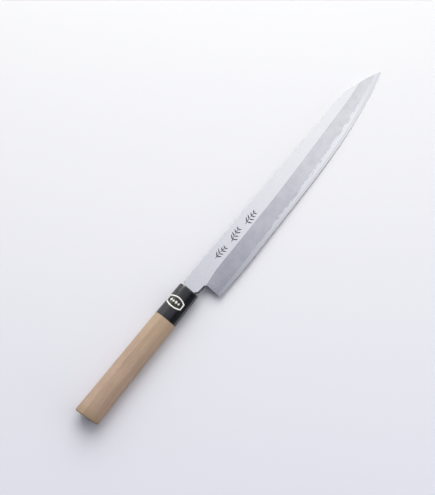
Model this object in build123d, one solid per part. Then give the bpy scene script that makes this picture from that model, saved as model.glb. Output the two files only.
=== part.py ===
from build123d import *
from math import atan2, cos, degrees, pi, radians, sin, tan
import os

# A single-bevel slicing knife lying on its hollow back, bevel side up.
# It is modelled straight: x runs to the tip from the ferrule's front, y to the spine, z to the bevel side.
# At the end the whole knife is tipped into the attitude in which it rests on a flat surface.

# Handle
wood_length = 110.0
butt_height = 23.8
butt_thickness = 20.4
joint_height = 21.6
joint_thickness = 18.4
butt_slant = 4.5  # degrees, the edge side of the butt is the shorter
butt_chamfer = 0.9
tenon_height = 16.0
tenon_thickness = 12.4

# Horn ferrule
ferrule_length = 33.9
front_height = 20.2
front_thickness = 16.8
front_rounding = 1.3
rounding_steps = 5
tenon_gap = 0.1
tenon_end_gap = 0.6
seal_stop = 2.0  # horn between the seal and the end of the tenon's bore

# Handle section, one ridge on the bevel side, as shares of half the height and half the thickness
ridge_share = 0.38
broad_face_shares = ((-0.22, 0.985), (-1.0, 0.66))
narrow_face_shares = ((0.74, 0.76), (1.0, 0.42))
under_side_shares = ((-1.0, -0.56), (-0.6, -1.0))
ridge_ease_shares = (0.04, 0.06)  # of the broad and of the narrow face, rounded off at the ridge

# Blade seen from the bevel side, with the spine as the base line
spine_rise = 8.5  # the spine's height above the handle's middle line at the ferrule
spine_lean = 1.15  # degrees, the spine leans to the edge side towards the tip
neck_length = 13.1
edge_length = 262.7
heel_height = 33.1
flat_height = 17.2
tip_drop = 13.9
tip_curve_length = 51.0
# From heel to tip: share of the edge's length, the edge's depth as a share of the heel's height,
# and the depth of the line between flat and bevel as a share of the flat's height
blade_shares = (
    (0.04, 1.013, 0.924),
    (0.12, 1.024, 0.866),
    (0.29, 0.991, 0.82),
    (0.465, 0.952, 0.738),
    (0.617, 0.897, 0.616),
    (0.75, 0.8, 0.506),
    (0.865, 0.667, 0.39),
    (0.942, 0.55, 0.24),
)
ridge_end_share = 0.13
# The spine's fall to the tip: share of the curve's length, share of the drop
spine_curve_shares = ((0.24, 0.058), (0.4, 0.173), (0.55, 0.345), (0.7, 0.53), (0.85, 0.735))
notch_length = 2.6
notch_depth = 1.9
shoulder_gap = 0.8
shoulder_radius = 3.4
shoulder_rise_share = 0.047  # how much lower the neck is at its shoulder than at the heel
heel_root_radius = 1.2

# Blade thickness and grinding
neck_thickness = 4.0
tip_thickness = 1.6
edge_land = 0.15
hollow_depth = 0.38
spine_rim = 2.2
edge_rim = 1.3
hollow_start = 5.0
hollow_ease = 14.0
hollow_end = 16.0
hollow_end_chord = 2.0
hollow_end_depth = 0.04

# Tang
tang_length = 94.0
tang_root_height = 10.3
tang_end_height = 4.6
tang_end_thickness = 2.6
tang_fit = 0.12
tang_end_gap = 2.5

# Hard steel layer under the iron, with a wavy weld line
steel_start = 6.0
steel_thickness = 1.02
steel_end_share = 0.72
steel_belly_share = 0.27
wave_length = 21.0
ripple_length = 8.6
wave_height = 0.05
ripple_height = 0.022
points_per_wave = 5

# Seal in the ferrule's mouth
seal_gap = 0.45
seal_depth = 6.0
seal_inset = 0.35

# Label over the ferrule's ridge
foil = 0.12
label_centre_share = 0.52  # of the ferrule, from its front
label_width = 11.2
label_end_width = 6.0
label_length = 16.3
label_reach = 5.7  # how far the label comes down past the middle line on the broad face
label_stop = 2.1  # how far above the middle plane it ends on the spine side

# Attitude at rest: it stands on the handle's underside at the ferrule's back, and on its tip
rest_roll = 3.3  # degrees, the edge side goes down under the blade's weight

overrun = 6.0

handle_length = wood_length + ferrule_length
tenon_length = ferrule_length - tenon_end_gap - seal_stop - seal_depth - seal_inset
tip_x = neck_length + edge_length
back_z = -neck_thickness / 2
taper_slope = (neck_thickness - tip_thickness) / tip_x


def handle_section(x, height, thickness, slant=0.0):
    """The D section of the handle at x, as a face."""
    half = height / 2
    deep = thickness / 2
    ridge = (ridge_share * half, deep)
    broad = [(a * half, b * deep) for a, b in broad_face_shares]
    narrow = [(a * half, b * deep) for a, b in narrow_face_shares]
    under = [(a * half, b * deep) for a, b in under_side_shares]
    ease_broad, ease_narrow = ridge_ease_shares
    broad_face = Bezier(ridge, *broad, (-half, 0)).trim(ease_broad, 1)
    narrow_face = Bezier((half, 0), *reversed(narrow), ridge).trim(0, 1 - ease_narrow)
    outline = [
        Bezier(narrow_face @ 1, ridge, broad_face @ 0),
        broad_face,
        Bezier((-half, 0), *under, (0, -deep)),
        Bezier((0, -deep), *[(-y, z) for y, z in reversed(under)], (half, 0)),
        narrow_face,
    ]
    plane = Plane(origin=(x, 0, 0), x_dir=(0, 1, 0), z_dir=(1, 0, 0))
    return plane * Rot(0, slant, 0) * make_face(outline)


def taper(x_from, x_to, height_from, height_to, thickness_from, thickness_to, grow=0.0):
    """A straight run of the handle between two of its sections."""
    first = handle_section(x_from, height_from + 2 * grow, thickness_from + 2 * grow)
    last = handle_section(x_to, height_to + 2 * grow, thickness_to + 2 * grow)
    return loft([first, last], ruled=True)


def ferrule_body(grow=0.0):
    """The outside of the ferrule before its front is rounded."""
    return taper(
        -ferrule_length, 0, joint_height, front_height, joint_thickness, front_thickness, grow
    )


def oval_rod(x_from, x_to, height, thickness):
    """An oval rod on the handle's middle line."""
    plane = Plane(origin=(x_from, 0, 0), x_dir=(0, 1, 0), z_dir=(1, 0, 0))
    return extrude(plane * Ellipse(height / 2, thickness / 2), x_to - x_from)


def blade_place():
    """From the blade's own base line to the knife."""
    return Pos(0, spine_rise, 0) * Rot(0, 0, -spine_lean)


def tang_rod(gap, end_gap):
    """The tapered tang from the ferrule's front, made larger by a gap for its slot."""
    low = notch_depth + tang_root_height
    root_y = -(notch_depth + low) / 2
    end_y = root_y + (tang_root_height - tang_end_height) / 4
    plane_root = Plane(origin=(0, root_y, 0), x_dir=(0, 1, 0), z_dir=(1, 0, 0))
    plane_end = Plane(origin=(-tang_length - end_gap, end_y, 0), x_dir=(0, 1, 0), z_dir=(1, 0, 0))
    root = plane_root * Rectangle(tang_root_height + 2 * gap, neck_thickness + 2 * gap)
    end = plane_end * Rectangle(tang_end_height + 2 * gap, tang_end_thickness + 2 * gap)
    return loft([end, root], ruled=True)


def edge_points():
    """Points of the cutting edge from heel to tip, below the spine's base line."""
    middle = [(neck_length + a * edge_length, -b * heel_height) for a, b, c in blade_shares]
    return [(neck_length, -heel_height), *middle, (tip_x, -tip_drop)]


def spine_curve_points():
    """Points of the spine's fall to the tip."""
    start = tip_x - tip_curve_length
    middle = [(start + a * tip_curve_length, -b * tip_drop) for a, b in spine_curve_shares]
    return [(start, 0), *middle, (tip_x, -tip_drop)]


def ridge_line_points():
    """Points of the line between flat and bevel, from the heel to where it would pass the tip."""
    middle = [(neck_length + a * edge_length, -c * flat_height) for a, b, c in blade_shares]
    return [(neck_length, -flat_height), *middle, (tip_x, -ridge_end_share * flat_height)]


def height_at(points, x):
    """The y of a point list at x, in straight steps, carried on past both ends."""
    pairs = list(zip(points, points[1:]))
    for (x0, y0), (x1, y1) in pairs:
        if x <= x1:
            break
    return y0 + (y1 - y0) * (x - x0) / (x1 - x0)


def blade_outline():
    """The blade's outline without its tang, as a face."""
    neck_y = -flat_height * (1 - shoulder_rise_share)
    root_y = -(notch_depth + tang_root_height)
    curve = spine_curve_points()
    spine = Line((notch_length, 0), curve[0])
    fall = Spline(*curve, tangents=[(1, 0), (curve[-1][0] - curve[-2][0], curve[-1][1] - curve[-2][1])])
    edge = Spline(*edge_points())
    heel = Polyline(
        (neck_length, -heel_height),
        (neck_length, -flat_height),
        (shoulder_gap, neck_y),
        (shoulder_gap, root_y),
        (0, root_y),
        (0, -notch_depth),
        (notch_length, -notch_depth),
        (notch_length, 0),
    )
    face = make_face([spine, fall, edge, *heel.edges()])
    corners = face.vertices()
    shoulder = corners.sort_by_distance((shoulder_gap, neck_y))[0]
    face = fillet(shoulder, shoulder_radius)
    root = face.vertices().sort_by_distance((neck_length, -flat_height))[0]
    return fillet(root, heel_root_radius)


def side_wedge():
    """The blade seen along its width: flat back, and a front that thins to the tip."""
    far = tip_x + overrun
    profile = Polyline(
        (0, back_z),
        (far, back_z),
        (far, back_z + neck_thickness - taper_slope * far),
        (0, back_z + neck_thickness),
        close=True,
    )
    plane = Plane(origin=(0, overrun, 0), x_dir=(1, 0, 0), z_dir=(0, -1, 0))
    return extrude(plane * make_face(profile), heel_height + 2 * overrun)


def bevel_cutter():
    """What the stone takes off between the ridge line and the edge."""
    ridge = ridge_line_points()
    edge = edge_points()
    stations = [neck_length - overrun, *[x for x, y in edge], tip_x + overrun]
    sections = []
    for x in stations:
        held = max(x, neck_length)
        top_y = height_at(ridge, held)
        low_y = height_at(edge, held)
        top_z = back_z + neck_thickness - taper_slope * held
        low_z = back_z + edge_land
        run_y = (low_y - top_y) / abs(low_y - top_y) * overrun
        run_z = (low_z - top_z) / abs(low_y - top_y) * overrun
        upper = (top_y - run_y, top_z - run_z)
        lower = (low_y + run_y, low_z + run_z)
        plane = Plane(origin=(x, 0, 0), x_dir=(0, 1, 0), z_dir=(1, 0, 0))
        sections.append(plane * make_face(Polyline(upper, lower, (lower[0], upper[1]), close=True)))
    return loft(sections)


def hollow_cutter():
    """The shallow hollow of the back, inside its flat rims."""
    edge = edge_points()
    spine = [(0, 0), *spine_curve_points()]
    start = neck_length + hollow_start
    stop = tip_x - hollow_end
    stations = [start, start + hollow_ease, *[x for x, y in edge if start + hollow_ease < x < stop], stop]
    sections = []
    for x in stations:
        top = height_at(spine, x) - spine_rim
        low = height_at(edge, x) + edge_rim
        depth = hollow_depth
        if x == start:
            depth = hollow_end_depth
        if x == stop:
            middle = (top + low) / 2
            top = middle + hollow_end_chord / 2
            low = middle - hollow_end_chord / 2
            depth = hollow_end_depth
        arc = ThreePointArc((top, back_z), ((top + low) / 2, back_z + depth), (low, back_z))
        under = Polyline((low, back_z), (low, back_z - edge_rim), (top, back_z - edge_rim), (top, back_z))
        plane = Plane(origin=(x, 0, 0), x_dir=(0, 1, 0), z_dir=(1, 0, 0))
        sections.append(plane * make_face([arc, *under.edges()]))
    return loft(sections)


def weld_height(x):
    """Height of the wavy weld between steel and iron, above the blade's back."""
    share = min(max((x - neck_length) / edge_length, 0), 1)
    even = steel_thickness * (steel_end_share + steel_belly_share * sin(pi * share))
    wave = wave_height * sin(2 * pi * x / wave_length + sin(2 * pi * x / edge_length))
    ripple = ripple_height * sin(2 * pi * x / ripple_length + cos(pi * x / wave_length))
    return even + wave + ripple


def steel_zone():
    """The room that the steel layer takes up, to be shared with the blade."""
    far = tip_x + overrun
    count = round((far - steel_start) / wave_length * points_per_wave)
    step = (far - steel_start) / count
    xs = [steel_start + i * step for i in range(count + 1)]
    weld = Spline(*[(x, back_z + weld_height(x)) for x in xs])
    box = Polyline(weld @ 1, (far, back_z - overrun), (steel_start, back_z - overrun), weld @ 0)
    plane = Plane(origin=(0, overrun, 0), x_dir=(1, 0, 0), z_dir=(0, -1, 0))
    return extrude(plane * make_face([weld, *box.edges()]), heel_height + 2 * overrun)


def blade_blank():
    """Blade and tang in one, ground but not yet parted into its two metals."""
    plate = extrude(Pos(0, 0, back_z - overrun) * blade_outline(), neck_thickness + 2 * overrun)
    blade = plate & side_wedge()
    blade = blade - bevel_cutter() - hollow_cutter()
    return blade + tang_rod(0, 0)


def blade_parts():
    """The iron body and the steel layer."""
    blank = blade_blank()
    zone = steel_zone()
    return blade_place() * (blank - zone), blade_place() * (blank & zone)


def handle_body():
    """The wooden handle with its tenon and the slot burned for the tang."""
    wood = taper(
        -handle_length - overrun, -ferrule_length, butt_height, joint_height, butt_thickness, joint_thickness
    )
    wide = butt_height + overrun
    cut_place = Pos(-handle_length, butt_height / 2, 0) * Rot(0, 0, butt_slant)
    wood = wood - cut_place * Box(
        2 * overrun, 3 * wide, 2 * wide, align=(Align.MAX, Align.CENTER, Align.CENTER)
    )
    end_face = wood.faces().sort_by(Axis.X)[0]
    wood = chamfer(end_face.edges(), butt_chamfer)
    wood = wood + oval_rod(-ferrule_length, -ferrule_length + tenon_length, tenon_height, tenon_thickness)
    return wood - blade_place() * tang_rod(tang_fit, tang_end_gap)


def mouth_slot():
    """The straight slot through the front of the ferrule, with room for the seal."""
    middle_y = -(notch_depth + tang_root_height / 2)
    plane = Plane(origin=(-ferrule_length, middle_y, 0), x_dir=(0, 1, 0), z_dir=(1, 0, 0))
    slot = plane * Rectangle(tang_root_height + 2 * seal_gap, neck_thickness + 2 * seal_gap)
    return blade_place() * extrude(slot, ferrule_length + overrun)


def ferrule():
    """The horn sleeve with a blind bore behind and the tang's slot in front."""
    rings = [handle_section(-ferrule_length, joint_height, joint_thickness)]
    for step in range(rounding_steps + 1):
        turn = radians(90 * step / rounding_steps)
        back = front_rounding * (1 - sin(turn))
        inset = front_rounding * (1 - cos(turn))
        share = back / ferrule_length
        height = front_height + (joint_height - front_height) * share - 2 * inset
        thickness = front_thickness + (joint_thickness - front_thickness) * share - 2 * inset
        rings.append(handle_section(-back, height, thickness))
    horn = loft(rings, ruled=True)
    bore_end = -ferrule_length + tenon_length + tenon_end_gap
    bore = oval_rod(
        -ferrule_length - overrun, bore_end, tenon_height + 2 * tenon_gap, tenon_thickness + 2 * tenon_gap
    )
    return horn - bore - mouth_slot()


def mouth_seal(blade):
    """The filling between the tang and the ferrule's slot."""
    room = Box(
        seal_depth, 2 * butt_height, 2 * butt_thickness, align=(Align.MAX, Align.CENTER, Align.CENTER)
    )
    return mouth_slot() & (Pos(-seal_inset, 0, 0) * room) - blade


def ferrule_label():
    """The foil laid over the ridge, wider in the middle than at its ends."""
    middle_x = -ferrule_length * label_centre_share
    low = -label_reach
    top = low + label_length
    wide = label_width / 2
    end = label_end_width / 2
    outline = [
        Line((-end, low), (end, low)),
        ThreePointArc((end, low), (wide, (low + top) / 2), (end, top)),
        Line((end, top), (-end, top)),
        ThreePointArc((-end, top), (-wide, (low + top) / 2), (-end, low)),
    ]
    patch = Pos(middle_x, 0, label_stop) * make_face(outline)
    skin = ferrule_body(foil) - ferrule_body()
    return skin & extrude(patch, joint_thickness + overrun)


def build():
    """All pieces by name, lying as the knife rests, over the middle of the floor."""
    iron, steel = blade_parts()
    pieces = {
        "blade_iron": iron,
        "edge_steel": steel,
        "handle_body": handle_body(),
        "ferrule": ferrule(),
        "ferrule_label": ferrule_label(),
        "mouth_seal": mouth_seal(iron),
    }
    tip_y = spine_rise - tip_drop - tip_x * tan(radians(spine_lean))
    tip_rise = tip_y * sin(radians(rest_roll)) + back_z * cos(radians(rest_roll))
    pitch = degrees(atan2(joint_thickness / 2 + tip_rise, ferrule_length + tip_x))
    rest = Rot(0, pitch, 0) * Rot(rest_roll, 0, 0)
    pieces = {name: rest * piece for name, piece in pieces.items()}
    box = Compound(children=[piece.solid() for piece in pieces.values()]).bounding_box()
    middle = box.center()
    return {name: Pos(-middle.X, -middle.Y, -box.min.Z) * piece for name, piece in pieces.items()}


os.makedirs("parts", exist_ok=True)
for name, piece in build().items():
    solid = piece.solid()
    solid.label = name
    export_step(solid, f"parts/{name}.step")
    print(name, round(solid.volume, 1), solid.is_valid)
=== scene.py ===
import math
import random

import bmesh
import bpy
from mathutils import Matrix, Vector


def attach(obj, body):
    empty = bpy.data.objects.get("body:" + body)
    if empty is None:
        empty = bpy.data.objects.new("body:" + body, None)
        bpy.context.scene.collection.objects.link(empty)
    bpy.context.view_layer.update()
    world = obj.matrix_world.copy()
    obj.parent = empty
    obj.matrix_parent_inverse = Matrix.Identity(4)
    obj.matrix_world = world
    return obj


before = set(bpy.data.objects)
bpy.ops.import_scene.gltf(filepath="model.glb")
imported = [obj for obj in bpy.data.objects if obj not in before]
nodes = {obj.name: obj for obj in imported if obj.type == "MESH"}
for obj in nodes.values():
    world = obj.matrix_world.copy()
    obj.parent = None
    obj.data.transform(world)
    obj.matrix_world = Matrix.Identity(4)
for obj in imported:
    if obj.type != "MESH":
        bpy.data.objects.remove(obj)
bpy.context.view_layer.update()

mm = 0.001
seam = 1e-7  # m, points closer than this are one
print("frame loaded, nodes:", len(nodes))

# how the knife lies: x runs from butt to tip, y to the spine, z out of the bevel side
knifeLie = {
    "ferruleFront": (-65.77, 7.2015, 8.6553),  # mm, middle of the handle at the ferrule's front
    "pitch": 1.2195,
    "roll": 3.3,
    "spineRise": 8.5,
    "bladeLean": 1.15,
    "neckThickness": 4.0,
    "thinning": 0.0087,  # how fast the flat comes down towards the tip
}


def turn(degrees, axis):
    return Matrix.Rotation(math.radians(degrees), 4, axis)


def knifeMatrix():
    place = Matrix.Translation(Vector(knifeLie["ferruleFront"]) * mm)
    return place @ turn(knifeLie["pitch"], "Y") @ turn(knifeLie["roll"], "X")


def bladeMatrix():
    lift = Matrix.Translation((0, knifeLie["spineRise"] * mm, 0))
    return knifeMatrix() @ lift @ turn(-knifeLie["bladeLean"], "Z")


def flatMatrix():
    # the plane of the flat, with its origin under the spine at the neck
    top = Matrix.Translation((0, 0, knifeLie["neckThickness"] / 2 * mm))
    return bladeMatrix() @ top @ turn(math.degrees(knifeLie["thinning"]), "Y")


def newObject(name, bm, material, smooth=True):
    bmesh.ops.remove_doubles(bm, verts=bm.verts, dist=seam)
    bmesh.ops.recalc_face_normals(bm, faces=bm.faces)
    mesh = bpy.data.meshes.new(name)
    bm.to_mesh(mesh)
    bm.free()
    for face in mesh.polygons:
        face.use_smooth = smooth
    piece = bpy.data.objects.new(name, mesh)
    bpy.context.scene.collection.objects.link(piece)
    mesh.materials.append(material)
    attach(piece, "root")
    return piece


def addNode(tree, kind, **settings):
    node = tree.nodes.new(kind)
    for key, value in settings.items():
        if hasattr(node, key):
            setattr(node, key, value)
        else:
            node.inputs[key.replace("_", " ")].default_value = value
    return node


def join(tree, pairs):
    for source, target in pairs:
        tree.links.new(source, target)


def fillSockets(tree, sockets, values):
    # a node's output is linked, a plain value is written on the socket
    for socket, value in zip(sockets, values):
        if isinstance(value, bpy.types.NodeSocket):
            tree.links.new(value, socket)
        elif value is not None:
            socket.default_value = value


def newGroup(name, inputs, outputs):
    group = bpy.data.node_groups.new(name, "ShaderNodeTree")
    for label, kind, value in inputs:
        socket = group.interface.new_socket(label, in_out="INPUT", socket_type=kind)
        if value is not None:
            socket.default_value = value
    for label, kind in outputs:
        group.interface.new_socket(label, in_out="OUTPUT", socket_type=kind)
    return group, group.nodes.new("NodeGroupInput"), group.nodes.new("NodeGroupOutput")


def useGroup(tree, group, vector=None, **values):
    node = tree.nodes.new("ShaderNodeGroup")
    node.node_tree = group
    for key, value in values.items():
        node.inputs[key.replace("_", " ")].default_value = value
    if vector is not None:
        tree.links.new(vector, node.inputs["Vector"])
    return node


def mixColours(tree, factor, first, second):
    mix = addNode(tree, "ShaderNodeMix", data_type="RGBA")
    ends = [end if isinstance(end, bpy.types.NodeSocket) else (*end, 1) for end in (first, second)]
    fillSockets(tree, (mix.inputs[0], mix.inputs[6], mix.inputs[7]), (factor, *ends))
    return mix.outputs[2]


def mixNumbers(tree, factor, first, second):
    mix = addNode(tree, "ShaderNodeMix", data_type="FLOAT")
    fillSockets(tree, (mix.inputs[0], mix.inputs[2], mix.inputs[3]), (factor, first, second))
    return mix.outputs[0]


def mathNode(tree, operation, *values):
    node = addNode(tree, "ShaderNodeMath", operation=operation)
    fillSockets(tree, node.inputs, values)
    return node.outputs[0]


def dotNode(tree, first, second):
    node = addNode(tree, "ShaderNodeVectorMath", operation="DOT_PRODUCT")
    fillSockets(tree, node.inputs, (first, second))
    return node.outputs["Value"]


def splitNode(tree, vector):
    node = tree.nodes.new("ShaderNodeSeparateXYZ")
    tree.links.new(vector, node.inputs["Vector"])
    return node.outputs["X"], node.outputs["Y"], node.outputs["Z"]


def rangeNode(tree, value, low, high, toLow=0.0, toHigh=1.0, smooth=True):
    node = addNode(tree, "ShaderNodeMapRange", interpolation_type="SMOOTHSTEP" if smooth else "LINEAR")
    ends = [node.inputs[label] for label in ("Value", "From Min", "From Max", "To Min", "To Max")]
    fillSockets(tree, ends, (value, low, high, toLow, toHigh))
    return node.outputs["Result"]


def newMaterial(name, lie):
    # a material with the object's coordinates turned to lie along the piece
    material = bpy.data.materials.new(name)
    material.use_nodes = True
    tree = material.node_tree
    tree.nodes.clear()
    output = tree.nodes.new("ShaderNodeOutputMaterial")
    shader = tree.nodes.new("ShaderNodeBsdfPrincipled")
    coords = tree.nodes.new("ShaderNodeTexCoord")
    mapping = addNode(tree, "ShaderNodeMapping", vector_type="TEXTURE")
    mapping.inputs["Location"].default_value = lie.to_translation()
    mapping.inputs["Rotation"].default_value = lie.to_euler("XYZ")
    join(tree, [
        (shader.outputs["BSDF"], output.inputs["Surface"]),
        (coords.outputs["Object"], mapping.inputs["Vector"]),
    ])
    return material, tree, shader, mapping.outputs["Vector"]


def addRoughness(tree, shader, texture, middle, spread):
    # the texture carries the roughness from half a spread below the middle to half above it
    low = mathNode(tree, "MULTIPLY_ADD", texture, spread, -spread / 2)
    tree.links.new(mathNode(tree, "ADD", low, middle), shader.inputs["Roughness"])


def addBump(tree, shader, height, strength, distance):
    bump = addNode(tree, "ShaderNodeBump", Strength=strength, Distance=distance)
    join(tree, [(height, bump.inputs["Height"]), (bump.outputs["Normal"], shader.inputs["Normal"])])


# what the shared effects keep in every material that uses them
effects = {
    "grindRoughness": 0.6,
    "cloudDetail": 4.0,
    "cloudRoughness": 0.55,
    "cloudRange": (0.3, 0.7),
    "wallRise": (0.45, 0.75),  # how upright a wall stands before it counts
    "wallTurn": (0.2, 0.5),  # and how far it faces the wall's heading
}


def makeGrindGroup():
    # lines left by a stone or a belt, long one way and fine the other
    group, start, end = newGroup(
        "grindLines",
        [("Vector", "NodeSocketVector", None), ("Stretch", "NodeSocketVector", (1, 1, 1)),
         ("Detail", "NodeSocketFloat", 3.0)],
        [("Lines", "NodeSocketFloat")],
    )
    stretch = addNode(group, "ShaderNodeVectorMath", operation="MULTIPLY")
    noise = addNode(group, "ShaderNodeTexNoise", Scale=1.0, Roughness=effects["grindRoughness"])
    join(group, [
        (start.outputs["Vector"], stretch.inputs[0]),
        (start.outputs["Stretch"], stretch.inputs[1]),
        (stretch.outputs["Vector"], noise.inputs["Vector"]),
        (start.outputs["Detail"], noise.inputs["Detail"]),
        (noise.outputs["Fac"], end.inputs["Lines"]),
    ])
    return group


def makeCloudGroup():
    # soft uneven patches, used for tarnish, handling marks and dust
    group, start, end = newGroup(
        "softClouds",
        [("Vector", "NodeSocketVector", None), ("Size", "NodeSocketFloat", 0.02),
         ("Low", "NodeSocketFloat", 0.0), ("High", "NodeSocketFloat", 1.0)],
        [("Clouds", "NodeSocketFloat")],
    )
    detail, roughness = effects["cloudDetail"], effects["cloudRoughness"]
    noise = addNode(group, "ShaderNodeTexNoise", Detail=detail, Roughness=roughness)
    scale = mathNode(group, "DIVIDE", 1.0, start.outputs["Size"])
    ends = start.outputs["Low"], start.outputs["High"]
    spread = rangeNode(group, noise.outputs["Fac"], *effects["cloudRange"], *ends)
    join(group, [
        (scale, noise.inputs["Scale"]),
        (start.outputs["Vector"], noise.inputs["Vector"]),
        (spread, end.inputs["Clouds"]),
    ])
    return group


def makeWallGroup():
    # walls that face the handle or the edge side, painted dark for the shade and the dark reflection of
    # the shaded table that they show
    group, start, end = newGroup(
        "shadedWalls",
        [("Normal", "NodeSocketVector", None), ("Up", "NodeSocketVector", (0, 0, 1)),
         ("Outward", "NodeSocketVector", (-1, 0, 0))],
        [("Mask", "NodeSocketFloat")],
    )
    rise = mathNode(group, "ABSOLUTE", dotNode(group, start.outputs["Normal"], start.outputs["Up"]))
    faced = dotNode(group, start.outputs["Normal"], start.outputs["Outward"])
    upright = rangeNode(group, rise, *effects["wallRise"], 1.0, 0.0)
    turned = rangeNode(group, faced, *effects["wallTurn"])
    join(group, [(mathNode(group, "MULTIPLY", upright, turned), end.inputs["Mask"])])
    return group


grindGroup = makeGrindGroup()
cloudGroup = makeCloudGroup()
wallGroup = makeWallGroup()

ironLook = {
    "flatColour": (0.748, 0.751, 0.763),
    "bevelColour": (0.603, 0.606, 0.626),
    "flatRoughness": 0.259,
    "bevelRoughness": 0.15,
    "bevelTilt": (0.02, 0.06),  # how far the surface leans before it counts as bevel
    "tarnish": (0.49, 0.493, 0.515),
    "tarnishSize": 0.011,  # m
    "tarnishShare": (0.06, 0.5),  # on the flat and on the bevel
    "flatLines": (60, 2600, 900),  # ground lines per metre, along, across and through the blade
    "bevelLines": (2200, 260, 500),
    "lineDetail": 4.0,
    "lineRoughness": 0.12,
    "bump": (0.25, 0.00004),  # strength, and depth in m
    # painted shade: the walls at the neck and heel are near black because they face the shaded table
    "wall": (0.015, 0.015, 0.018),
    "wallHeading": (-0.75, -0.66, 0),
    "neckEdge": ((0.0008, -0.01639), (0.0131, -0.0172)),  # m, the neck's lower line from mouth to heel
    "neckEdgeRadius": 0.0034,
    "neckEdgeWidths": (0.0006, 0.0013),  # painted shade along the neck's lower corner
    "neckEdgeStop": (0.0114, 0.0124),
    "neckEdgeRise": (0.0022, 0.0032),
}


def addWalls(tree, normal):
    turned = bladeMatrix().to_3x3()
    outward = turned @ Vector(ironLook["wallHeading"])
    walls = useGroup(tree, wallGroup, Up=turned @ Vector((0, 0, 1)), Outward=outward)
    tree.links.new(normal, walls.inputs["Normal"])
    return walls.outputs["Mask"]


def addNeckShade(tree, place):
    # painted shade: how far a point is inside the neck's lower line and its rounded shoulder, where the
    # neck's shaded lower wall shows as a dark line
    look = ironLook
    (x0, y0), (x1, y1) = look["neckEdge"]
    steep = (y1 - y0) / (x1 - x0)
    radius = look["neckEdgeRadius"]
    along, across, height = splitNode(tree, place)
    line = mathNode(tree, "MULTIPLY_ADD", along, steep, y0 - x0 * steep)
    above = mathNode(tree, "SUBTRACT", across, line)
    back = mathNode(tree, "MAXIMUM", mathNode(tree, "SUBTRACT", x0 + radius, along), 0.0)
    down = mathNode(tree, "MAXIMUM", mathNode(tree, "SUBTRACT", radius, above), 0.0)
    square = mathNode(tree, "MULTIPLY_ADD", back, back, mathNode(tree, "POWER", down, 2.0))
    inside = mathNode(tree, "SUBTRACT", radius, mathNode(tree, "SQRT", square))
    near = rangeNode(tree, inside, *look["neckEdgeWidths"], 1.0, 0.0)
    near = mathNode(tree, "MULTIPLY", near, rangeNode(tree, along, *look["neckEdgeStop"], 1.0, 0.0))
    return mathNode(tree, "MULTIPLY", near, rangeNode(tree, above, *look["neckEdgeRise"], 1.0, 0.0))


def makeIron():
    look = ironLook
    material, tree, shader, place = newMaterial("softIron", flatMatrix())
    normal = tree.nodes.new("ShaderNodeTexCoord").outputs["Normal"]
    edgeSide = flatMatrix().to_3x3() @ Vector((0, -1, 0))
    bevel = rangeNode(tree, dotNode(tree, normal, edgeSide), *look["bevelTilt"])
    along = useGroup(tree, grindGroup, place, Stretch=look["flatLines"], Detail=look["lineDetail"])
    across = useGroup(tree, grindGroup, place, Stretch=look["bevelLines"], Detail=look["lineDetail"])
    lines = mixNumbers(tree, bevel, along.outputs["Lines"], across.outputs["Lines"])
    haze = useGroup(tree, cloudGroup, place, Size=look["tarnishSize"])
    share = rangeNode(tree, bevel, 0, 1, *look["tarnishShare"], smooth=False)
    ground = mixColours(tree, bevel, look["flatColour"], look["bevelColour"])
    share = mathNode(tree, "MULTIPLY", haze.outputs["Clouds"], share)
    colour = mixColours(tree, share, ground, look["tarnish"])
    # painted shade: the dark walls and the dark line under the neck are both mixed in here
    scale = mathNode(tree, "MAXIMUM", addWalls(tree, normal), addNeckShade(tree, place))
    tree.links.new(mixColours(tree, scale, colour, look["wall"]), shader.inputs["Base Color"])
    middle = rangeNode(tree, bevel, 0, 1, look["flatRoughness"], look["bevelRoughness"], smooth=False)
    addRoughness(tree, shader, lines, middle, look["lineRoughness"])
    shader.inputs["Metallic"].default_value = 1.0
    addBump(tree, shader, lines, *look["bump"])
    return material


steelLook = {
    "polished": (0.80, 0.803, 0.815),
    "misty": (0.555, 0.558, 0.576),
    # painted reflection: a darker line at the edge for the darker reflection of a micro-bevel that is
    # not modelled
    "edgeShadeLine": (0.62, 0.62, 0.64),
    "heelRun": (0.02, 0.13),  # m from the ferrule, towards the heel the steel is darkened to the bevel's colour
    "heelShare": 0.9,
    "tipRun": (0.21, 0.26),  # and again towards the tip, though less
    "tipShare": 0.5,
    "weldHeights": (0.55, 0.95),  # mm above the back, where the mist begins and ends
    "weldWaver": 0.22,  # mm
    "weldWaverSize": 0.006,  # m
    "edgeHeights": (0.17, 0.27),
    "backHeights": (0.1, 0.14),  # keeps the back free of the painted edge line
    "roughness": 0.3,
    "lines": (1800, 240, 500),
    "lineDetail": 4.0,
    "lineRoughness": 0.1,
    "bump": (0.2, 0.00003),
}


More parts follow.
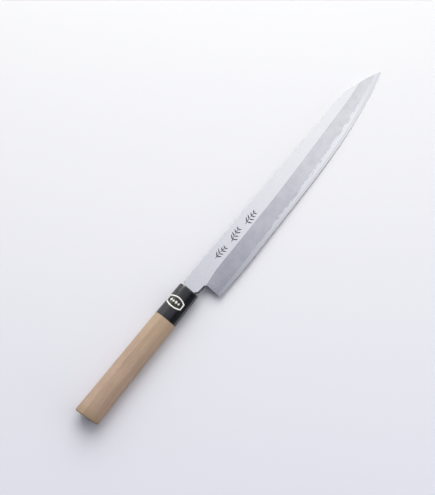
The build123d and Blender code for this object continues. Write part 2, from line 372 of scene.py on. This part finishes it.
def makeSteel():
    look = steelLook
    material, tree, shader, place = newMaterial("hardSteel", bladeMatrix())
    along, across, up = splitNode(tree, place)
    height = mathNode(tree, "SUBTRACT", up, -knifeLie["neckThickness"] / 2 * mm)
    waver = look["weldWaver"] * mm
    clouds = useGroup(tree, cloudGroup, place, Size=look["weldWaverSize"], Low=-waver, High=waver)
    stoned = useGroup(tree, grindGroup, place, Stretch=look["lines"], Detail=look["lineDetail"])
    wavy = mathNode(tree, "ADD", height, clouds.outputs["Clouds"])
    mist = rangeNode(tree, wavy, *[h * mm for h in look["weldHeights"]])
    heel = rangeNode(tree, along, *look["heelRun"], look["heelShare"], 0.0)
    tip = rangeNode(tree, along, *look["tipRun"], 0.0, look["tipShare"])
    edge = rangeNode(tree, height, *[h * mm for h in look["edgeHeights"]], 1.0, 0.0)
    front = rangeNode(tree, height, *[h * mm for h in look["backHeights"]])
    colour = mixColours(tree, mist, look["polished"], look["misty"])
    colour = mixColours(tree, mathNode(tree, "MAXIMUM", heel, tip), colour, ironLook["bevelColour"])
    colour = mixColours(tree, mathNode(tree, "MULTIPLY", edge, front), colour, look["edgeShadeLine"])
    normal = tree.nodes.new("ShaderNodeTexCoord").outputs["Normal"]
    # painted shade on the steel's walls, as on the iron's
    colour = mixColours(tree, addWalls(tree, normal), colour, ironLook["wall"])
    tree.links.new(colour, shader.inputs["Base Color"])
    addRoughness(tree, shader, stoned.outputs["Lines"], look["roughness"], look["lineRoughness"])
    shader.inputs["Metallic"].default_value = 1.0
    addBump(tree, shader, stoned.outputs["Lines"], *look["bump"])
    return material


woodLook = {
    "pale": (0.51, 0.373, 0.265),
    "middle": (0.43, 0.3, 0.217),
    "dark": (0.30, 0.20, 0.14),
    "fleck": (0.22, 0.135, 0.085),
    "yellow": (0.47, 0.345, 0.205),
    "roughness": 0.61,
    "fibreRoughness": 0.12,
    "pith": (0.0, -0.034, -0.046),  # m, middle of the tree, seen from the handle's middle line
    "bend": 0.0006,  # how far the rings wander
    "bendSize": 0.07,
    "bands": (5, 330, 1),  # growth rings per metre, along the grain and outwards
    "bandDetail": 3.0,
    "bandRange": (0.35, 0.65),
    "fibres": (45, 1700, 1300),
    "fibreDetail": 5.0,
    "fibreRange": (0.3, 0.7),
    "fibreShare": 0.35,
    "pores": (160, 4200, 3200),
    "poreDetail": 1.0,
    "poreRange": (0.62, 0.75),
    "poreShare": 0.55,
    "handSize": 0.03,
    "handShare": 0.18,
    "yellowRun": (-0.1, -0.03),  # m from the ferrule's front, yellower towards the ferrule
    "yellowShare": 0.35,
    "buttDarkRun": (-0.145, -0.095),  # darker towards the butt
    "buttDarkShare": 0.3,
    "end": (0.295, 0.207, 0.108),  # the butt's end is yellower and a little darker
    "endRun": (-0.1445, -0.132),
    "endShare": 0.8,
    "bump": (0.35, 0.00008),
}


def makeWood():
    look = woodLook
    material, tree, shader, place = newMaterial("hoWood", knifeMatrix())
    bend = useGroup(tree, cloudGroup, place, Size=look["bendSize"], Low=-look["bend"], High=look["bend"])
    fromPith = addNode(tree, "ShaderNodeVectorMath", operation="SUBTRACT")
    fillSockets(tree, fromPith.inputs, (place, look["pith"]))
    along, across, up = splitNode(tree, fromPith.outputs["Vector"])
    square = mathNode(tree, "MULTIPLY_ADD", up, up, mathNode(tree, "POWER", across, 2.0))
    ring = mathNode(tree, "ADD", mathNode(tree, "SQRT", square), bend.outputs["Clouds"])
    grown = tree.nodes.new("ShaderNodeCombineXYZ")
    join(tree, [(along, grown.inputs["X"]), (ring, grown.inputs["Y"])])
    grown = grown.outputs["Vector"]
    bands = useGroup(tree, grindGroup, grown, Stretch=look["bands"], Detail=look["bandDetail"])
    fibres = useGroup(tree, grindGroup, place, Stretch=look["fibres"], Detail=look["fibreDetail"])
    pores = useGroup(tree, grindGroup, place, Stretch=look["pores"], Detail=look["poreDetail"])
    hands = useGroup(tree, cloudGroup, place, Size=look["handSize"])
    bandMask = rangeNode(tree, bands.outputs["Lines"], *look["bandRange"])
    fibreMask = rangeNode(tree, fibres.outputs["Lines"], *look["fibreRange"])
    colour = mixColours(tree, bandMask, look["middle"], look["pale"])
    darker = mathNode(tree, "MULTIPLY", fibreMask, look["fibreShare"])
    colour = mixColours(tree, darker, colour, look["dark"])
    flecks = rangeNode(tree, pores.outputs["Lines"], *look["poreRange"], 0.0, look["poreShare"])
    colour = mixColours(tree, flecks, colour, look["fleck"])
    soiled = mathNode(tree, "MULTIPLY", hands.outputs["Clouds"], look["handShare"])
    colour = mixColours(tree, soiled, colour, look["dark"])
    yellowed = rangeNode(tree, along, *look["yellowRun"], 0.0, look["yellowShare"])
    colour = mixColours(tree, yellowed, colour, look["yellow"])
    buttDarkened = rangeNode(tree, along, *look["buttDarkRun"], look["buttDarkShare"], 0.0)
    colour = mixColours(tree, buttDarkened, colour, look["dark"])
    ended = rangeNode(tree, along, *look["endRun"], look["endShare"], 0.0)
    tree.links.new(mixColours(tree, ended, colour, look["end"]), shader.inputs["Base Color"])
    addRoughness(tree, shader, fibreMask, look["roughness"], look["fibreRoughness"])
    addBump(tree, shader, fibres.outputs["Lines"], *look["bump"])
    return material


hornLook = {
    "black": (0.003, 0.003, 0.0035),
    "streak": (0.010, 0.010, 0.012),
    "streaks": (70, 700, 500),
    "streakRange": (0.4, 0.7),
    "roughness": 0.14,
    "scuffSize": 0.005,
    "scuffRoughness": 0.08,
    "ior": 1.7,
    "bump": (0.12, 0.00003),
}


def makeHorn():
    look = hornLook
    material, tree, shader, place = newMaterial("blackHorn", knifeMatrix())
    streaks = useGroup(tree, grindGroup, place, Stretch=look["streaks"])
    scuffs = useGroup(tree, cloudGroup, place, Size=look["scuffSize"])
    mask = rangeNode(tree, streaks.outputs["Lines"], *look["streakRange"])
    tree.links.new(mixColours(tree, mask, look["black"], look["streak"]), shader.inputs["Base Color"])
    addRoughness(tree, shader, scuffs.outputs["Clouds"], look["roughness"], look["scuffRoughness"])
    shader.inputs["IOR"].default_value = look["ior"]
    addBump(tree, shader, streaks.outputs["Lines"], *look["bump"])
    return material


# small surfaces in two tones that run into each other: sizes in m, roughness as middle and spread
sealLook = {"tones": ((0.62, 0.58, 0.48), (0.42, 0.38, 0.3)), "share": 1.0, "size": 0.002,
            "roughness": (0.5, 0.08), "bump": (0.4, 0.0001)}
foilLook = {"tones": ((0.014, 0.014, 0.013), (0.035, 0.034, 0.03)), "share": 1.0, "size": 0.003,
            "roughness": (0.38, 0.12), "bump": (0.15, 0.00004)}
creamLook = {"tones": ((0.96, 0.955, 0.87), (0.78, 0.76, 0.66)), "share": 0.45, "size": 0.0022,
             "roughness": (0.495, 0.15), "bump": (0.2, 0.00003)}
# the cuts are near black: partly the dull tone of cut steel, mostly painted shade for the shade that
# lies in chisel grooves
shadedCutLook = {"tones": ((0.015, 0.015, 0.018), (0.045, 0.045, 0.052)), "share": 1.0, "size": 0.0015,
              "roughness": (0.525, -0.15), "bump": (0.3, 0.00004)}


def makeTwoTone(name, lie, look):
    material, tree, shader, place = newMaterial(name, lie)
    clouds = useGroup(tree, cloudGroup, place, Size=look["size"]).outputs["Clouds"]
    share = mathNode(tree, "MULTIPLY", clouds, look["share"])
    tree.links.new(mixColours(tree, share, *look["tones"]), shader.inputs["Base Color"])
    addRoughness(tree, shader, clouds, *look["roughness"])
    addBump(tree, shader, clouds, *look["bump"])
    return material


finishes = {
    "blade_iron": makeIron(),
    "edge_steel": makeSteel(),
    "handle_body": makeWood(),
    "ferrule": makeHorn(),
    "ferrule_label": makeTwoTone("labelFoil", knifeMatrix(), foilLook),
    "mouth_seal": makeTwoTone("sealResin", knifeMatrix(), sealLook),
}
for nodeName, material in finishes.items():
    mesh = nodes[nodeName].data
    mesh.materials.clear()
    mesh.materials.append(material)
print("finishes set on the solids:", len(finishes))

# all in mm, with u along a sprig's stem and v across it
sprigs = {
    "places": ((44.5, -8.1), (65.5, -7.8), (86.5, -8.3)),  # along the blade, below the spine
    "leans": (-8.0, 6.0, -4.0),
    "stemLength": 15.5,
    "stemWidths": (0.95, 0.855),
    "stemBow": (-1.1, 0.2, 0.4),  # v at the stem's start, just past its middle and at its end
    "stemOverlap": 0.4,  # how far past the middle the stem's first cut runs
    "leafPairs": 4,
    "leafLength": 5.0,
    "leafShrink": 0.1,  # from one pair to the next
    "leafWidth": 1.4,
    "leafStart": (0.72, -0.6),  # share of half the stem before the middle, and v there
    "leafStep": (0.22, 0.25),  # share of the stem, and v
    "leafRoot": (0.5, 0.4),
    "leafLengths": (0.85, 1.1),
    "leafAngles": (42, 58),
    "seed": 4,
    "proud": 0.035,
    "cutSides": 14,
    "cutTop": 0.45,
    "cutTaper": 0.62,
}


def addCut(bm, start, end, width):
    # one chisel cut: a sliver, broad where the tool went in and fine where it came out
    look = sprigs
    start, end = Vector(start), Vector(end)
    run = end - start
    made = bmesh.ops.create_cone(
        bm, cap_ends=True, segments=look["cutSides"], radius1=1.0, radius2=look["cutTop"], depth=1.0
    )
    verts = made["verts"]
    for vert in verts:
        vert.co.y *= 1.0 - look["cutTaper"] * (vert.co.x + 1) / 2
    middle = Matrix.Translation((*((start + end) / 2), 0))
    lean = Matrix.Rotation(math.atan2(run.y, run.x), 4, "Z")
    size = Matrix.Diagonal((run.length / 2, width / 2, look["proud"] * 2, 1))
    bmesh.ops.transform(bm, matrix=middle @ lean @ size, verts=verts)


def makeSprigs():
    look = sprigs
    hand = random.Random(look["seed"])
    half = look["stemLength"] / 2
    startV, middleV, endV = look["stemBow"]
    bm = bmesh.new()
    for (along, down), lean in zip(look["places"], look["leans"]):
        cos, sin = math.cos(math.radians(lean)), math.sin(math.radians(lean))

        def spot(u, v):
            return along + u * cos - v * sin, down + u * sin + v * cos

        addCut(bm, spot(-half, startV), spot(look["stemOverlap"], middleV), look["stemWidths"][0])
        addCut(bm, spot(0, 0), spot(half, endV), look["stemWidths"][1])
        for pair in range(look["leafPairs"]):
            u = -half * look["leafStart"][0] + pair * look["stemLength"] * look["leafStep"][0]
            v = look["leafStart"][1] + look["leafStep"][1] * pair
            longest = look["leafLength"] * (1 - look["leafShrink"] * pair)
            for side in (-1, 1):
                length = longest * hand.uniform(*look["leafLengths"])
                angle = math.radians(side * hand.uniform(*look["leafAngles"]))
                root = spot(u + look["leafRoot"][0], v + look["leafRoot"][1] * side)
                tip = spot(u + length * math.cos(angle), v + length * math.sin(angle))
                addCut(bm, root, tip, look["leafWidth"])
    bmesh.ops.scale(bm, vec=(mm, mm, mm), verts=bm.verts)
    bmesh.ops.transform(bm, matrix=flatMatrix(), verts=bm.verts)
    shadedChiselCut = makeTwoTone("shadedChiselCut", flatMatrix(), shadedCutLook)
    return newObject("flat_sprigs", bm, shadedChiselCut, smooth=False)


makeSprigs()
print("sprigs cut on the flat:", len(sprigs["places"]))

# all in mm
label = {
    "middleX": -17.16,  # behind the ferrule's front
    "halfWidth": 5.6,
    "halfEnd": 3.0,
    "low": -5.7,  # on the broad face, below the middle line
    "stop": 2.1,  # above the middle plane on the spine side
    "length": 16.3,
    "border": 1.25,
    "margin": 0.1,
    "lift": 0.135,
    "thickness": 0.05,
    "cells": (10, 30),
    "sweep": (-50, 130),  # degrees from the bevel side over the ridge
    "startAbove": 40.0,  # how far out the surface is looked for
    "marks": 4,
    "markSizes": (2.0, 2.5),
    "markStretch": 1.2,
    "markSides": 16,
    "markNip": 0.5,  # how far every fourth point goes in, between the petals
    "markStart": 3.45,  # where the row of marks begins, from the label's lower end
    "markGap": 0.82,  # share of an even spacing between the border's ends
    "markEnds": 3.0,
}


def ferruleSkin():
    # height above the ferrule's surface is measured from its own mesh
    knife = knifeMatrix()
    toKnife = knife.inverted()
    source = nodes["ferrule"]

    def skin(x, angle, lift):
        way = Vector((0, math.sin(angle), math.cos(angle)))
        start = Vector((x, 0, 0)) * mm + way * label["startAbove"] * mm
        spot = source.ray_cast(knife @ start, knife.to_3x3() @ -way)[1]
        return spot + knife.to_3x3() @ way * lift * mm, toKnife @ spot

    return skin


def labelTrack(skin):
    # run over the ridge at the label's middle and note how far each angle is along the surface
    track = []
    run = 0
    last = None
    first, final = label["sweep"]
    for degrees in range(first, final + 1):
        angle = math.radians(degrees)
        spot = skin(label["middleX"], angle, 0)[1] / mm
        if last is not None:
            run += (spot - last).length
        last = spot
        track.append((run, angle, spot.y, spot.z))
    start = min((t for t in track if t[3] > 0), key=lambda t: abs(t[2] - label["low"]))
    end = min((t for t in track if t[2] > 0), key=lambda t: abs(t[3] - label["stop"]))
    return track, start[0], end[0] - start[0]


def makeLabelPrint():
    look = label
    skin = ferruleSkin()
    track, start, length = labelTrack(skin)

    def at(distance):
        for before, after in zip(track, track[1:]):
            if after[0] >= start + distance:
                share = (start + distance - before[0]) / (after[0] - before[0])
                return [low + (high - low) * share for low, high in zip(before[1:3], after[1:3])]
        return track[-1][1:3]

    def halfWidthAt(y):
        half = look["length"] / 2
        sag = look["halfWidth"] - look["halfEnd"]
        radius = (half * half + sag * sag) / (2 * sag)
        off = min(abs(y - look["low"] - half), half)
        return look["halfWidth"] - (radius - math.sqrt(radius * radius - off * off))

    def settle(bm):
        for vert in bm.verts:
            angle, y = at(vert.co.y)
            vert.co = skin(look["middleX"] + vert.co.x, angle, look["lift"])[0]

    border = bmesh.new()
    across, along = look["cells"]
    bmesh.ops.create_grid(border, x_segments=across, y_segments=along, size=0.5)
    for vert in border.verts:
        distance = (vert.co.y + 0.5) * (length - 2 * look["margin"]) + look["margin"]
        y = at(distance)[1]
        vert.co = (vert.co.x * 2 * (halfWidthAt(y) - look["margin"]), distance, 0)
    made = bmesh.ops.inset_region(
        border, faces=border.faces[:], thickness=look["border"], use_even_offset=True, use_boundary=True
    )
    keep = set(made["faces"])
    bmesh.ops.delete(border, geom=[f for f in border.faces if f not in keep], context="FACES")
    settle(border)
    creamPrint = makeTwoTone("creamPrint", knifeMatrix(), creamLook)
    ring = newObject("label_border", border, creamPrint)

    marks = bmesh.new()
    gap = (length - 2 * look["border"] - look["markEnds"]) / look["marks"] * look["markGap"]
    for number in range(look["marks"]):
        made = bmesh.ops.create_circle(marks, cap_ends=True, segments=look["markSides"], radius=0.5)
        petals = made["verts"]
        for vert in petals[2::4]:
            vert.co *= look["markNip"]
        size = look["markSizes"][number % 2]
        middle = Matrix.Translation((0, look["markStart"] + gap * (number + 0.5), 0))
        grow = Matrix.Diagonal((size * look["markStretch"], size, 1, 1))
        bmesh.ops.transform(marks, matrix=middle @ grow, verts=petals)
    bmesh.ops.triangulate(marks, faces=marks.faces)
    settle(marks)
    flowers = newObject("label_marks", marks, creamPrint)
    for piece in (ring, flowers):
        thick = piece.modifiers.new("thickness", "SOLIDIFY")
        thick.thickness = look["thickness"] * mm
        thick.offset = 0


makeLabelPrint()
print("label printed")

table = {
    "warm": (0.832, 0.832, 0.822),  # painted light: the table is paler and warmer towards the light and bluer away from it
    "cool": (0.795, 0.795, 0.852),
    "tintHeading": (0.784, 0.62, 0.0),
    "tintReach": (-0.25, 0.25),  # m
    "cloud": (0.7, 0.7, 0.74),
    "cloudSize": 0.4,
    "cloudShare": 0.03,
    "roughness": 0.6,
    "gloss": 0.2,
    "size": 14.0,
    "drop": 0.00005,  # keeps the table just under the knife
    "fade": (0.42, 1.5),  # m from the knife, between which the table goes over into the white room
    "far": (1.0, 1.0, 1.0),
}


def makeTable():
    look = table
    bm = bmesh.new()
    bmesh.ops.create_grid(bm, x_segments=1, y_segments=1, size=look["size"] / 2)
    bmesh.ops.translate(bm, vec=(0, 0, -look["drop"]), verts=bm.verts)
    mesh = bpy.data.meshes.new("table")
    bm.to_mesh(mesh)
    bm.free()
    floor = bpy.data.objects.new("table", mesh)
    bpy.context.scene.collection.objects.link(floor)
    material, tree, shader, place = newMaterial("paleTable", Matrix.Identity(4))
    clouds = useGroup(tree, cloudGroup, place, Size=look["cloudSize"])
    dim = mathNode(tree, "MULTIPLY", clouds.outputs["Clouds"], look["cloudShare"])
    # painted light: the tint runs from cool to warm towards the light
    lit = rangeNode(tree, dotNode(tree, place, look["tintHeading"]), *look["tintReach"], smooth=False)
    colour = mixColours(tree, lit, look["cool"], look["warm"])
    tree.links.new(mixColours(tree, dim, colour, look["cloud"]), shader.inputs["Base Color"])
    shader.inputs["Roughness"].default_value = look["roughness"]
    shader.inputs["Specular IOR Level"].default_value = look["gloss"]
    away = addNode(tree, "ShaderNodeVectorMath", operation="LENGTH")
    tree.links.new(place, away.inputs[0])
    fade = rangeNode(tree, away.outputs["Value"], *look["fade"])
    rays = tree.nodes.new("ShaderNodeLightPath").outputs
    seen = mathNode(tree, "MAXIMUM", rays["Is Camera Ray"], rays["Is Glossy Ray"])
    seen = mathNode(tree, "MAXIMUM", seen, rays["Is Transmission Ray"])
    room = addNode(tree, "ShaderNodeEmission", Color=(*look["far"], 1), Strength=1.0)
    mix = tree.nodes.new("ShaderNodeMixShader")
    output = next(node for node in tree.nodes if node.type == "OUTPUT_MATERIAL")
    join(tree, [
        (mathNode(tree, "MULTIPLY", fade, seen), mix.inputs[0]),
        (shader.outputs["BSDF"], mix.inputs[1]),
        (room.outputs["Emission"], mix.inputs[2]),
        (mix.outputs["Shader"], output.inputs["Surface"]),
    ])
    mesh.materials.append(material)


# places and sizes in m, headings as directions from the knife
light = {
    "heading": (0.802, 0.596),  # where on the table the light comes from
    "elevation": 44.4,
    "distance": 1.4,
    "size": 1.26,
    "power": 15.14,
    "colour": (1.0, 0.995, 0.985),
    "fillPlace": (0.25, -0.95, 0.3),  # a low soft lamp on the edge side
    "fillSize": (0.9, 0.3),
    "fillPower": 0.86,
    "cardPlace": (0.5, 1.25, 0.36),  # a bright card past the spine, seen only in glossy finishes
    "cardSize": (0.6, 0.3),
    "cardPower": 6.18,
}


def addLamp(name, place, size, power):
    lamp = bpy.data.lights.new(name, "AREA")
    lamp.shape = "RECTANGLE"
    lamp.size, lamp.size_y = size
    lamp.energy = power
    lamp.color = light["colour"]
    holder = bpy.data.objects.new(name, lamp)
    holder.location = place
    holder.rotation_euler = Vector(place).to_track_quat("Z", "Y").to_euler()
    holder.visible_camera = False
    bpy.context.scene.collection.objects.link(holder)
    return holder


def makeLight():
    look = light
    low = math.radians(look["elevation"])
    flat = Vector(look["heading"]).normalized() * math.cos(low)
    away = Vector((flat.x, flat.y, math.sin(low)))
    softbox = addLamp("softbox", away * look["distance"], (look["size"], look["size"]), look["power"])
    fill = addLamp("fill", look["fillPlace"], look["fillSize"], look["fillPower"])
    card = addLamp("card", look["cardPlace"], look["cardSize"], look["cardPower"])
    softbox.visible_glossy = fill.visible_glossy = False  # the steel mirrors the room and not the lamps
    card.visible_diffuse = False


# the room round the table: strengths of 1 are white
sky = {
    "middle": 0.537,
    "slope": 1.818,
    "limits": (0.02, 1.3),
    "heading": (0.976, 0.215, 0.0),  # bright this way and dark the other
    "mirrorReach": (0.001, 0.35),  # along the same heading, where what metal sees overhead turns bright
    "mirrorLevels": (0.481, 1.237),
    "whiteBelow": (0.42, 0.62),  # near the horizon metal sees the white room, as the camera does
    "flagHeading": (0.05, -0.95, 0.3),  # a black cloth on the edge side
    "flagReach": (0.7, 0.93),
    "flagLevel": 0.173,
    "dark": (0.87, 0.905, 1.15),
    "bright": (1.0, 1.0, 1.015),
}


def makeSky():
    look = sky
    world = bpy.data.worlds.new("studio")
    bpy.context.scene.world = world
    world.use_nodes = True
    tree = world.node_tree
    tree.nodes.clear()
    heading = tree.nodes.new("ShaderNodeTexCoord").outputs["Generated"]
    rays = tree.nodes.new("ShaderNodeLightPath").outputs
    low, high = look["limits"]
    forward = dotNode(tree, heading, look["heading"])
    level = mathNode(tree, "MULTIPLY_ADD", forward, look["slope"], look["middle"])
    level = mathNode(tree, "MAXIMUM", mathNode(tree, "MINIMUM", level, high), low)
    overhead = rangeNode(tree, splitNode(tree, heading)[2], *look["whiteBelow"])
    mirrored = rangeNode(tree, forward, *look["mirrorReach"], *look["mirrorLevels"])
    mirrored = mixNumbers(tree, overhead, 1.0, mirrored)
    edgeSide = dotNode(tree, heading, look["flagHeading"])
    flag = rangeNode(tree, edgeSide, *look["flagReach"], 1.0, look["flagLevel"])
    shiny = mathNode(tree, "MAXIMUM", rays["Is Glossy Ray"], rays["Is Transmission Ray"])
    level = mixNumbers(tree, shiny, level, mathNode(tree, "MULTIPLY", mirrored, flag))
    share = mathNode(tree, "MAXIMUM", mathNode(tree, "DIVIDE", level, high), rays["Is Camera Ray"])
    background = tree.nodes.new("ShaderNodeBackground")
    output = tree.nodes.new("ShaderNodeOutputWorld")
    join(tree, [
        (mixNumbers(tree, rays["Is Camera Ray"], level, 1.0), background.inputs["Strength"]),
        (mixColours(tree, share, look["dark"], look["bright"]), background.inputs["Color"]),
        (background.outputs["Background"], output.inputs["Surface"]),
    ])


# in m and degrees, but for the lens and the sensor in mm
view = {
    "aim": (-0.01852, 0.012556, 0.0),
    "elevation": 78.672,
    "heading": 38.329,
    "distance": 0.9,
    "lens": 72.02,
    "sensor": 36.0,
    "nearest": 0.01,
}


def makeCamera():
    up, around = math.radians(view["elevation"]), math.radians(view["heading"])
    forward = Vector((math.cos(up) * math.cos(around), math.cos(up) * math.sin(around), -math.sin(up)))
    data = bpy.data.cameras.new("camera")
    data.lens = view["lens"]
    data.sensor_width = view["sensor"]
    data.clip_start = view["nearest"]
    camera = bpy.data.objects.new("camera", data)
    camera.location = Vector(view["aim"]) - forward * view["distance"]
    camera.rotation_euler = forward.to_track_quat("-Z", "Y").to_euler()
    bpy.context.scene.collection.objects.link(camera)
    bpy.context.scene.camera = camera


makeTable()
makeLight()
makeSky()
makeCamera()
bpy.context.scene.view_settings.view_transform = "Standard"
print("table, light and camera placed")
